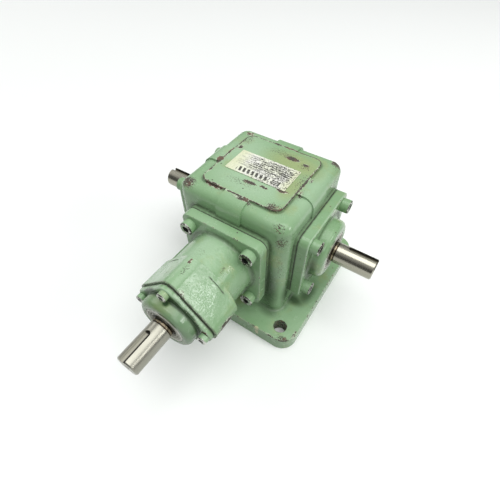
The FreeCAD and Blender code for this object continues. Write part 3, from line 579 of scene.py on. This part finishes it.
lidLook = {
    "edgeRound": 0.5,
    "wearLoops": [((0, -134, 80), (90, 0, 45), 30, 30, 10, 1.5, 0.38)],
    "wearSpots": [((33, -134, 84), (6, 3, 6), 0.8)],
    # painted shade round the boss's root, and a dark joint at the nose
    "grimeAndShadeLoops": [
        ((0, -134, 80), (90, 0, 0), 27, 27, 27, 4, 0.8),
        ((0, -129.4, 80), (90, 0, 45), 30, 30, 10, 2.0, 1.2),
    ],
    "shadeLoops": [((0, -134, 80), (90, 0, 0), 28, 28, 28, 4.2, 1.9)],
    "shadeSpots": [
        ((7, -134, 107), (12, 4, 9), 1.0), ((2, -137.5, 107), (5, 4.5, 3.5), 1.3),
        ((2, -144, 74), (60, 20, 60), 0.6),
    ],
    # grime and painted shade by the right screw
    "grimeAndShadeSpots": [((33, -135, 76), (9, 6, 9), 0.9)],
    # painted highlight along the lid's edge
    "fadeLoops": [((0, -134, 80), (90, 0, 45), 30, 30, 10, 2.2, 1.4)],
    "stainSpots": [((0, -140, 106), (16, 10, 10), 0.5)],
    # glossy peel, which also lays a painted sparkle in the paint's grain
    "peelSpots": [((21, -131.5, 101), (18, 5, 18), 0.9)],
}
coverLook = {
    "edgeRound": 0.6,
    "wearLoops": [((68.5, 0, 80), (0, 90, 0), 40, 40, 8, 1.6, 0.4)],
    # painted highlight along the flange's edge
    "fadeLoops": [((68.5, 0, 80), (0, 90, 0), 40, 40, 8, 2.0, 1.4)],
    "shadeSpots": [
        ((69, -25, 70), (5, 10, 24), 0.8), ((71, -31, 80), (7, 8, 20), 0.75),
        ((69, -8, 44), (5, 26, 6), 0.6),
    ],
    # painted shade round the boss's root, and a dark joint at the housing
    "grimeAndShadeLoops": [
        ((68.5, 0, 80), (0, 90, 0), 33, 33, 33, 5, 0.75),
        ((58.9, 0, 80), (0, 90, 0), 40, 40, 8, 1.6, 0.9),
    ],
}


def mirrored(look):
    # the right cover's loops, moved to the left cover; the shade is on the right one alone
    copy = {"edgeRound": look["edgeRound"]}
    for key, loops in look.items():
        if key.endswith("Loops"):
            copy[key] = [((-x, y, z), *rest) for (x, y, z), *rest in loops]
    return copy


castings = (
    ("input_quill", "quillEnamel", quillLook),
    ("input_cover", "lidEnamel", lidLook),
    ("right_cover", "rightCoverEnamel", coverLook),
    ("left_cover", "leftCoverEnamel", mirrored(coverLook)),
)
for node, paint, look in castings:
    nodeSkin(node, "housing", paintedCasting(paint, look), look["edgeRound"])
print("quill, lid and covers done")

# Screws
screwLook = {
    "edgeRound": 0.35,
    "onAxes": False,  # True for screws straight above and beside the shaft, not at the corners
    "head": 13,
    "socket": 6,
    "rimReach": 1.6,
    "rimWear": 0.95,
    "topWear": 0.7,
    "topDepth": (0.2, 1.0),  # mm below the head's top, where its wear ends
    "patchNoise": (0.05, 2),
    "patchLevels": (0.35, 0.6, 0.55, 1.15),
    "brightNoise": (0.5, 3, 0.6),
    "brightFrom": 0.5,
    "brightSoft": 0.12,
    "socketEdge": (0.3, 1.0),  # mm past the socket's width, where its dark ends
    "socketDepth": (0.05, 0.5),
    "darkSteel": (0.06, 0.06, 0.05, 1),
    "brightSteel": (0.62, 0.62, 0.58, 1),
    "socketDark": (0.012, 0.014, 0.010, 1),
    "steelMetallic": 0.85,
    "steelRoughness": 0.3,
    "socketRoughness": 0.8,
}
# place is how far a screw stands from the shaft line, and top how far along it the head ends
quillScrewLook = dict(screwLook, place=31, top=75.5)
coverScrewLook = dict(screwLook, place=30, top=76.5)
lidScrewLook = dict(screwLook, place=32.98, top=139, onAxes=True, head=8.5, socket=4,
                    rimReach=2.2, rimWear=0.9, topWear=0.75, brightFrom=0.4)
# node, look, the shaft line that the screws stand along, and which way their heads face
screwSets = (
    ("input_quill_screws", quillScrewLook, "y", -1),
    ("right_cover_screws", coverScrewLook, "x", 1),
    ("left_cover_screws", coverScrewLook, "x", -1),
    ("input_cover_screws", lidScrewLook, "y", -1),
)


def screwMaterial(name, look, axis, way):
    # painted head, worn to bare steel round its rim, with a dark socket
    material, tree, shader = newMaterial(name)
    place = millimetres(tree, (0, 0, axisHeight))
    parts = split(tree, place)
    along, beside = (parts[0], parts[1]) if axis == "x" else (parts[1], parts[0])
    beside = calc(tree, "ABSOLUTE", beside)
    above = calc(tree, "ABSOLUTE", parts[2])
    if look["onAxes"]:
        outward = calc(tree, "SUBTRACT", strongest(tree, beside, above), look["place"])
        around = calc(tree, "MINIMUM", beside, above)
    else:
        outward = calc(tree, "SUBTRACT", beside, look["place"])
        around = calc(tree, "SUBTRACT", above, look["place"])
    radius = hypot(tree, outward, around)
    under = addShare(tree, look["top"], along, -way)

    fromRim = hypot(tree, calc(tree, "SUBTRACT", radius, look["head"] / 2), under)
    onRim = ramp(tree, fromRim, 0, look["rimReach"], look["rimWear"], 0)
    onTop = ramp(tree, under, *look["topDepth"], 1, 0)
    wear = calc(tree, "ADD", onRim, product(tree, onTop, look["topWear"]))
    patches = ramp(tree, noise(tree, place, *look["patchNoise"]), *look["patchLevels"])
    wear = product(tree, wear, patches)
    enamel = useGroup(tree, chippedEnamel, {"Place": place, "Wear": wear, "Dots": 0.0})

    brightFrom = look["brightFrom"]
    glints = noise(tree, place, *look["brightNoise"])
    bright = ramp(tree, glints, brightFrom, brightFrom + look["brightSoft"])
    steel = mixColor(tree, bright, look["darkSteel"], look["brightSteel"])
    color = mixColor(tree, enamel["Bare"], enamel["Color"], steel)
    full, none = (look["socket"] / 2 + past for past in look["socketEdge"])
    overSocket = ramp(tree, radius, full, none, 1, 0)
    inSocket = product(tree, overSocket, ramp(tree, under, *look["socketDepth"]))
    color = mixColor(tree, inSocket, color, look["socketDark"])
    metal = product(tree, enamel["Bare"], calc(tree, "SUBTRACT", 1.0, inSocket))
    tree.links.new(product(tree, metal, look["steelMetallic"]), shader.inputs["Metallic"])
    shine = ramp(tree, metal, 0, 1, enamel["Roughness"], look["steelRoughness"], smooth=False)
    roughness = strongest(tree, shine, product(tree, inSocket, look["socketRoughness"]))
    finishSurface(tree, shader, color, enamel["Height"], roughness)
    return material


for name, look, axis, way in screwSets:
    paint = screwMaterial(name + "_paint", look, axis, way)
    nodeSkin(name, "housing", paint, look["edgeRound"], segments=2)
print("screws done")

# Shafts
shaftLook = {
    "edgeRound": 0.25,
    "color": (0.37, 0.36, 0.295, 1),
    "stain": (0.30, 0.285, 0.225, 1),
    "rust": (0.17, 0.135, 0.09, 1),
    "neck": (0.34, 0.285, 0.20, 1),
    # painted shade where the neck meets the seal and at its step
    "groove": (0.05, 0.038, 0.026, 1),
    # painted shade in the keyways
    "keyShade": (0.016, 0.014, 0.010, 1),
    "roughness": 0.25,
    "ringHeight": 0.002,
    # scale, detail and roughness of each noise, and its squeeze along and across the shaft
    "rings": (0.6, 3, 0.6),
    "ringSqueeze": (6, 0.25),
    "smear": (0.10, 4, 0.6),
    "smearSqueeze": (0.15, 1),
    "specks": (0.9, 3, 0.7),
    # noise levels between which an effect comes up, and its least and most
    "stainLevels": (0.45, 0.75, 0, 0.4),
    "rustLevels": (0.70, 0.75, 0, 0.4),
    "smearLevels": (0.3, 0.7),
    "smearRoughness": (0.8, 1.3),  # shares of the roughness
    # neck and keyway, in mm
    "neckSoft": 0.25,
    "grooveWidth": 1.0,
    "keyHalf": 3.05,
    "keyDepth": (6, 9.35),
    "keySoft": 0.1,
    "keyOffEnd": (0.3, 0.1),
    "shadeSoft": 0.35,
    "startShade": (1.5, 2.5),
    "keyRoughness": 0.2,
}
# lengths along the shaft in mm; in the keyway, painted shade lies across its floor, up its wall and at
# its start, and the cross shaft's floor is painted darker as shade
crossShaft = {
    "neck": (80, 83.6),
    "end": 120,
    "keyStart": 92,
    "keyLean": 18,
    "keyFloor": (0.15, 0.14, 0.095, 1),
    "shadeAcross": (-3.0, 1.4),
    "shadeUp": (7.0, 7.5),
}
inputShaft = {
    "neck": (145, 148.6),
    "end": 184.4,
    "keyStart": 156.4,
    "keyLean": -9,
    "keyFloor": (0.46, 0.45, 0.37, 1),
    "shadeAcross": (-0.5, 3.0),
    "shadeUp": (9.6, 9.8),
}
inputFinish = {
    "color": (0.315, 0.31, 0.262, 1),
    "roughness": 0.32,
}


def squeezed(tree, place, axis, along, across):
    # packs a pattern along and across an axis, and leaves it even where there is none
    factors = {None: (1, 1, 1), "x": (along, across, across), "y": (across, along, across)}[axis]
    return vectorCalc(tree, "MULTIPLY", place, factors)[0]


def shaftMarks(tree, shader, look, axis, shaft, color, roughness):
    # a stained neck with a line of painted shade at each end, and a keyway that runs out at the end, with
    # painted shade in it
    parts = split(tree, millimetres(tree, (0, 0, axisHeight)))
    along = calc(tree, "ABSOLUTE", parts[0 if axis == "x" else 1])
    beside = parts[1 if axis == "x" else 0]
    neckStart, neckEnd = shaft["neck"]
    inNeck = between(tree, along, neckStart, neckEnd, look["neckSoft"])
    color = mixColor(tree, inNeck, color, look["neck"])
    # a line of painted shade at each end of the neck
    for start in (neckStart, neckEnd - look["grooveWidth"]):
        inDarkLine = between(tree, along, start, start + look["grooveWidth"], look["neckSoft"])
        color = mixColor(tree, inDarkLine, color, look["groove"])

    lean = math.radians(shaft["keyLean"])
    deep = addShare(tree, product(tree, parts[2], math.cos(lean)), beside, math.sin(lean))
    across = addShare(tree, product(tree, parts[2], -math.sin(lean)), beside, math.cos(lean))
    inWidth = between(tree, across, -look["keyHalf"], look["keyHalf"], look["keySoft"])
    inDepth = between(tree, deep, *look["keyDepth"], look["keySoft"])
    offEnd = ramp(tree, along, *(shaft["end"] - gap for gap in look["keyOffEnd"]), 1, 0)
    inKeyway = product(tree, inWidth, inDepth, offEnd)
    onFloor = between(tree, across, *shaft["shadeAcross"], look["shadeSoft"])
    onWall = ramp(tree, deep, *shaft["shadeUp"])
    atStart = ramp(tree, along, *(shaft["keyStart"] + reach for reach in look["startShade"]), 1, 0)
    bed = mixColor(tree, strongest(tree, onFloor, onWall, atStart), shaft["keyFloor"], look["keyShade"])
    tree.links.new(calc(tree, "SUBTRACT", 1.0, inKeyway), shader.inputs["Metallic"])
    color = mixColor(tree, inKeyway, color, bed)
    roughness = addShare(tree, roughness, inKeyway, look["keyRoughness"])
    return color, roughness


def steelMaterial(name, look, axis=None, shaft=None):
    # machined steel; with an axis, fine turning rings run round it and smears along it
    material, tree, shader = newMaterial(name, Metallic=1.0)
    place = millimetres(tree)
    rings = noise(tree, squeezed(tree, place, axis, *look["ringSqueeze"]), *look["rings"])
    smear = noise(tree, squeezed(tree, place, axis, *look["smearSqueeze"]), *look["smear"])
    specks = noise(tree, place, *look["specks"])
    least, most = (look["roughness"] * share for share in look["smearRoughness"])
    roughness = ramp(tree, smear, *look["smearLevels"], least, most)
    color = mixColor(tree, ramp(tree, smear, *look["stainLevels"]), look["color"], look["stain"])
    color = mixColor(tree, ramp(tree, specks, *look["rustLevels"]), color, look["rust"])
    if shaft:
        color, roughness = shaftMarks(tree, shader, look, axis, shaft, color, roughness)
    finishSurface(tree, shader, color, product(tree, rings, look["ringHeight"]), roughness)
    return material


crossSteel = steelMaterial("crossShaftSteel", shaftLook, "x", crossShaft)
inputSteel = steelMaterial("inputShaftSteel", dict(shaftLook, **inputFinish), "y", inputShaft)
nodeSkin("cross_shaft", "cross_shaft", crossSteel, shaftLook["edgeRound"], segments=2)
nodeSkin("input_shaft", "input_shaft", inputSteel, shaftLook["edgeRound"], segments=2)
print("shafts done")

# Oil seals: a pale case ring outside, folded rings, and a dark lip at the shaft
sealLook = {
    "steps": 96,
    # radius and height over the boss's end face, in mm
    "profile": [
        (18.95, -6.9), (18.95, -0.55), (18.6, -0.2), (16.9, -0.2), (16.6, -0.75), (16.15, -0.75),
        (15.85, -0.3), (15.0, -0.3), (14.7, -1.0), (13.7, -1.0), (13.4, -0.55), (12.6, -0.55),
        (12.3, -1.6), (11.2, -1.9), (10.5, -1.5), (10.1, -1.9), (10.1, -3.2), (12.2, -4.2),
        (12.2, -2.8), (17.4, -2.8), (17.4, -6.9),
    ],
    # radii in mm where the lip turns into the folds, the folds into the case, and the rim gets dirty
    "lipEdge": (11.8, 12.4),
    "caseEdge": (15.6, 16.0),
    "dirtyRim": (18.6, 18.85),
    "dirtyGrooves": ((16.2, 16.55, 0.15), (14.0, 14.4, 0.2)),  # from, to and how soft
    "soilNoise": (0.35, 5, 0.7),
    "soilLevels": (0.6, 0.74, 0, 0.6),
    "glossLevels": (0.3, 0.7, 0.35, 0.7),
    "soilHeight": 0.08,
    "case": (0.70, 0.71, 0.64, 1),
    "fold": (0.46, 0.465, 0.40, 1),
    "lip": (0.018, 0.017, 0.013, 1),
    "darkening": (0.05, 0.046, 0.03, 1),
}


def sealMaterial(name, axis):
    look = sealLook
    material, tree, shader = newMaterial(name)
    place = millimetres(tree, (0, 0, axisHeight))
    parts = split(tree, place)
    radius = hypot(tree, parts[1 if axis == "x" else 0], parts[2])
    color = mixColor(tree, ramp(tree, radius, *look["lipEdge"]), look["lip"], look["fold"])
    color = mixColor(tree, ramp(tree, radius, *look["caseEdge"]), color, look["case"])
    soil = noise(tree, place, *look["soilNoise"])
    grooves = [between(tree, radius, *groove) for groove in look["dirtyGrooves"]]
    onRim = ramp(tree, radius, *look["dirtyRim"])
    darkening = strongest(tree, ramp(tree, soil, *look["soilLevels"]), onRim, *grooves)
    color = mixColor(tree, darkening, color, look["darkening"])
    roughness = ramp(tree, soil, *look["glossLevels"])
    finishSurface(tree, shader, color, product(tree, soil, look["soilHeight"]), roughness)
    return material


def makeSeal(side, outward, end, axis):
    bm = bmesh.new()
    center = Vector((0, 0, axisHeight)) * mm
    outward = Vector(outward)
    up = Vector((0, 0, 1))
    rim = [bm.verts.new(center + (outward * (end + height) + up * radius) * mm)
           for radius, height in sealLook["profile"]]
    edges = [bm.edges.new((rim[k - 1], rim[k])) for k in range(len(rim))]
    bmesh.ops.spin(bm, geom=rim + edges, cent=center, axis=outward, dvec=(0, 0, 0), angle=math.tau,
                   steps=sealLook["steps"], use_merge=True)
    bmesh.ops.recalc_face_normals(bm, faces=bm.faces)
    material = sealMaterial(side + "SealFace", axis)
    finishPiece(side + "_seal_face", bm, "housing", material, [side + "_oil_seal"])


# side, the way out, how far out the boss's end face is, and the shaft line
seals = (
    ("input", (0, -1, 0), 145, "y"),
    ("right", (1, 0, 0), 80, "x"),
    ("left", (-1, 0, 0), 80, "x"),
)
for side, outward, end, axis in seals:
    makeSeal(side, outward, end, axis)
print("seals done")

# Name plate: cream, with worn rows of ruled marks
plateLook = {
    "edgeRound": 0.25,
    "center": (0, -1, 140.8),
    "cream": (0.76, 0.79, 0.64, 1),
    "white": (0.82, 0.83, 0.76, 1),
    "yellow": (0.66, 0.70, 0.44, 1),
    "ink": (0.035, 0.036, 0.028, 1),
    "roughness": 0.42,
    "dentHeight": 0.05,
    # pitches in mm
    "rowPitch": 2.6,
    "markWidth": 0.75,
    "groupWidth": 5.3,
    "barPitch": 4.3,
    "barLean": 0.22,
    "linePitch": 1.9,
    # shares of the marks, and of their groups, that are blank
    "markGaps": 0.30,
    "groupGaps": 0.18,
    # from, to and softness in mm from the plate's middle, across it and then along it
    "marks": ((-26, 27, 0.4), (-4.3, 12.4, 0.3)),
    "rule": ((-14.0, 24.0, 0.4), (-5.6, -5.2, 0.1)),
    "bars": ((-20.5, 12.0, 0.2), (-12.8, -7.2, 0.15)),
    "box": ((15.0, 23.0, 0.15), (-13.2, -7.2, 0.15)),
    "boxLines": (16.2, 21.6, 0.15),
    # scale per mm, detail and roughness of each noise
    "noises": {
        "rubbing": (0.16, 4, 0.65),
        "boldRubbing": (0.6, 3, 0.6),
        "specks": (0.6, 4, 0.75),
        "clouds": (0.07, 3, 0.6),
        "dents": (0.4, 4, 0.6),
    },
    # levels between which an effect comes up, and its least and most
    "levels": {
        "rubbing": (0.28, 0.46),
        "boldRubbing": (0.30, 0.42),
        "specks": (0.51, 0.57, 0, 0.9),
        "clouds": (0.42, 0.62),
        "row": (0.10, 0.16),
        "bar": (0.19, 0.23),
        "line": (0.14, 0.2, 1, 0),
    },
    # the same across the plate, in mm
    "across": {
        "print": (-26, -6, 0.25, 1.0),
        "specks": (-18, 10, 0.15, 1),
        "leftYellow": (-27, -14, 0.7, 0.0),
        "rightYellow": (22, 29, 0, 0.6),
    },
    "inkStrength": 0.95,
}


def plateMaterial():
    look = plateLook
    material, tree, shader = newMaterial("plateCream", Roughness=look["roughness"])
    place = millimetres(tree, look["center"])
    x, y = split(tree, place)[:2]
    cloud = {name: noise(tree, place, *values) for name, values in look["noises"].items()}

    def shown(value, levelName):
        return ramp(tree, value, *look["levels"][levelName])

    def acrossPlate(levelName):
        return ramp(tree, x, *look["across"][levelName])

    def area(areaName):
        acrossRange, alongRange = look[areaName]
        return product(tree, between(tree, x, *acrossRange), between(tree, y, *alongRange))

    def steps(value, pitch):
        return calc(tree, "FLOOR", calc(tree, "DIVIDE", value, pitch))

    def stripes(value, pitch):
        # 0 where two stripes meet, 0.5 in the middle of one
        return calc(tree, "PINGPONG", calc(tree, "DIVIDE", value, pitch), 0.5)

    def chance(column, row, gaps):
        cell = addNode(tree, "CombineXYZ", {0: column, 1: row}).outputs[0]
        lot = addNode(tree, "TexWhiteNoise", {"Vector": cell}, noise_dimensions="2D").outputs["Value"]
        return calc(tree, "GREATER_THAN", lot, gaps)

    # small rows of broken marks, over a rule
    inRow = shown(stripes(y, look["rowPitch"]), "row")
    marked = chance(steps(x, look["markWidth"]), steps(y, look["markWidth"]), look["markGaps"])
    grouped = chance(steps(x, look["groupWidth"]), steps(y, look["rowPitch"]), look["groupGaps"])
    fine = strongest(tree, product(tree, inRow, marked, grouped, area("marks")), area("rule"))

    # bold ruled bars along the front, and a ruled box beside them
    leaning = addShare(tree, x, y, look["barLean"])
    bars = product(tree, shown(stripes(leaning, look["barPitch"]), "bar"), area("bars"))
    inLine = shown(stripes(y, look["linePitch"]), "line")
    lines = product(tree, inLine, between(tree, x, *look["boxLines"]))
    box = product(tree, area("box"), calc(tree, "SUBTRACT", 1.0, lines))

    # the print is rubbed away at the left, and in patches
    fine = product(tree, fine, shown(cloud["rubbing"], "rubbing"), acrossPlate("print"))
    bold = product(tree, strongest(tree, bars, box), shown(cloud["boldRubbing"], "boldRubbing"))
    ink = product(tree, strongest(tree, fine, bold), look["inkStrength"])
    ink = strongest(tree, ink, product(tree, shown(cloud["specks"], "specks"), acrossPlate("specks")))

    cream = mixColor(tree, shown(cloud["clouds"], "clouds"), look["cream"], look["white"])
    yellowed = strongest(tree, acrossPlate("leftYellow"), acrossPlate("rightYellow"))
    cream = mixColor(tree, yellowed, cream, look["yellow"])
    color = mixColor(tree, ink, cream, look["ink"])
    finishSurface(tree, shader, color, product(tree, cloud["dents"], look["dentHeight"]))
    return material


nodeSkin("name_plate", "housing", plateMaterial(), plateLook["edgeRound"], segments=2)
print("name plate done")

# Sealed and small pieces keep the solids, each with its own surface
gearLook = dict(shaftLook, color=(0.42, 0.41, 0.40, 1), roughness=0.35)
bearingLook = dict(shaftLook, color=(0.66, 0.66, 0.67, 1), stain=(0.58, 0.57, 0.55, 1), roughness=0.15)
brassLook = dict(shaftLook, color=(0.68, 0.50, 0.22, 1), stain=(0.55, 0.38, 0.16, 1), roughness=0.3)
wireLook = dict(shaftLook, color=(0.45, 0.45, 0.46, 1), roughness=0.3)
gasketLook = {
    "dark": (0.03, 0.035, 0.028, 1),
    "pale": (0.06, 0.065, 0.05, 1),
    "cloudNoise": (0.8, 4, 0.6),
    "cloudLevels": (0.35, 0.65),
    "roughnessLevels": (0.3, 0.7, 0.765, 1),
    "fibreNoise": (3.2, 2),
    "fibreHeight": 0.05,
}


def gasketMaterial(name, look):
    # two tones and a fine grain
    material, tree, shader = newMaterial(name)
    place = millimetres(tree)
    cloud = noise(tree, place, *look["cloudNoise"])
    color = mixColor(tree, ramp(tree, cloud, *look["cloudLevels"]), look["dark"], look["pale"])
    height = product(tree, noise(tree, place, *look["fibreNoise"]), look["fibreHeight"])
    finishSurface(tree, shader, color, height, ramp(tree, cloud, *look["roughnessLevels"]))
    return material


slotMaterials = {
    "gear_steel": steelMaterial("gearSteel", gearLook),
    "bearing_steel": steelMaterial("bearingSteel", bearingLook),
    "cage_brass": steelMaterial("cageBrass", brassLook),
    "spring_steel": steelMaterial("springSteel", wireLook),
    "gasket_fibre": gasketMaterial("gasketFibre", gasketLook),
}
for node, slot in slotOf.items():
    if slot in slotMaterials:
        setMaterial(node, slotMaterials[slot])
print("inner pieces done")

# Floor, light and camera
studio = {
    "floor": (0.90, 0.92, 0.905, 1),
    "floorBounce": (0.30, 0.32, 0.29, 1),
    "floorHalf": 6,
    "floorRoughness": 0.7,
    # brightness of the sky, and of a glow behind the object
    "horizon": 0.12,
    "zenith": 0.58,
    "backGlow": 0.25,
    # parts of a view's direction between which they come up
    "skyRise": (0.40, 0.86),
    "backTurn": (0.3, 1.0),
    "backRise": (0.0, 0.2),
    "aim": (0, 0, 0.08),
    # place, size in metres and power in watts
    "softboxes": {
        "top": ((0.5, 0.0, 2.4), (1.9, 2.4), 39),
        "right": ((2.07, 0.47, 1.23), (0.95, 0.5), 13),
        "front": ((1.3, -1.7, 1.5), (1.2, 0.9), 8),
        "left": ((-2.2, 0.0, 1.4), (1.8, 1.2), 12),
    },
}


def makeFloor():
    bm = bmesh.new()
    bmesh.ops.create_grid(bm, x_segments=1, y_segments=1, size=studio["floorHalf"])
    mesh = bpy.data.meshes.new("floor")
    bm.to_mesh(mesh)
    bm.free()
    # the light meets a darker floor than the camera sees, so little of it comes back up
    material, tree, shader = newMaterial("paleFloor", Roughness=studio["floorRoughness"])
    path = addNode(tree, "LightPath").outputs
    seen = strongest(tree, path["Is Camera Ray"], path["Is Glossy Ray"], path["Is Transmission Ray"])
    color = mixColor(tree, seen, studio["floorBounce"], studio["floor"])
    tree.links.new(color, shader.inputs["Base Color"])
    mesh.materials.append(material)
    floor = bpy.data.objects.new("floor", mesh)
    bpy.context.scene.collection.objects.link(floor)


def makeLight(name, place, size, power):
    light = bpy.data.lights.new(name, "AREA")
    light.energy = power
    light.shape = "RECTANGLE"
    light.size = size[0]
    light.size_y = size[1]
    lamp = bpy.data.objects.new(name, light)
    lamp.location = place
    lamp.rotation_euler = (Vector(studio["aim"]) - Vector(place)).to_track_quat("-Z", "Y").to_euler()
    bpy.context.scene.collection.objects.link(lamp)


def makeWorld():
    world = bpy.data.worlds.new("softRoom")
    world.use_nodes = True
    tree = world.node_tree
    parts = split(tree, addNode(tree, "TexCoord").outputs["Generated"])
    sky = ramp(tree, parts[2], *studio["skyRise"], studio["horizon"], studio["zenith"])
    toBack = calc(tree, "SUBTRACT", parts[1], parts[0])
    glow = ramp(tree, toBack, *studio["backTurn"], 0, studio["backGlow"])
    level = addShare(tree, sky, glow, ramp(tree, parts[2], *studio["backRise"]))
    background = tree.nodes["Background"]
    background.inputs["Color"].default_value = (1, 1, 1, 1)
    tree.links.new(level, background.inputs["Strength"])
    bpy.context.scene.world = world


photoView = {
    # angles in degrees, and the place in mm
    "azimuth": 33.782,
    "elevation": 50.933,
    "roll": -0.162,
    "place": (123.948, -206.779, 323.467),
    # focal length and picture width in pixels, for a sensor in mm
    "focal": 333.26,
    "width": 500,
    "sensor": 36,
    "clipStart": 0.01,  # in metres
}


def makeCamera():
    azimuth, elevation, roll = (math.radians(photoView[key]) for key in ("azimuth", "elevation", "roll"))
    level = math.cos(elevation)
    back = Vector((math.sin(azimuth) * level, -math.cos(azimuth) * level, math.sin(elevation)))
    right = Vector((math.cos(azimuth), math.sin(azimuth), 0))
    up = back.cross(right)
    rolledRight = right * math.cos(roll) + up * math.sin(roll)
    rolledUp = up * math.cos(roll) - right * math.sin(roll)
    data = bpy.data.cameras.new("photoCamera")
    data.sensor_width = photoView["sensor"]
    data.lens = photoView["focal"] / photoView["width"] * data.sensor_width
    data.clip_start = photoView["clipStart"]
    camera = bpy.data.objects.new("photoCamera", data)
    turn = Matrix((rolledRight, rolledUp, back)).transposed()
    camera.matrix_world = Matrix.Translation(Vector(photoView["place"]) * mm) @ turn.to_4x4()
    bpy.context.scene.collection.objects.link(camera)
    bpy.context.scene.camera = camera


makeFloor()
makeWorld()
for name, (place, size, power) in studio["softboxes"].items():
    makeLight(name + "Softbox", place, size, power)
makeCamera()
bpy.context.scene.view_settings.view_transform = "Standard"
print("floor, light and camera done")
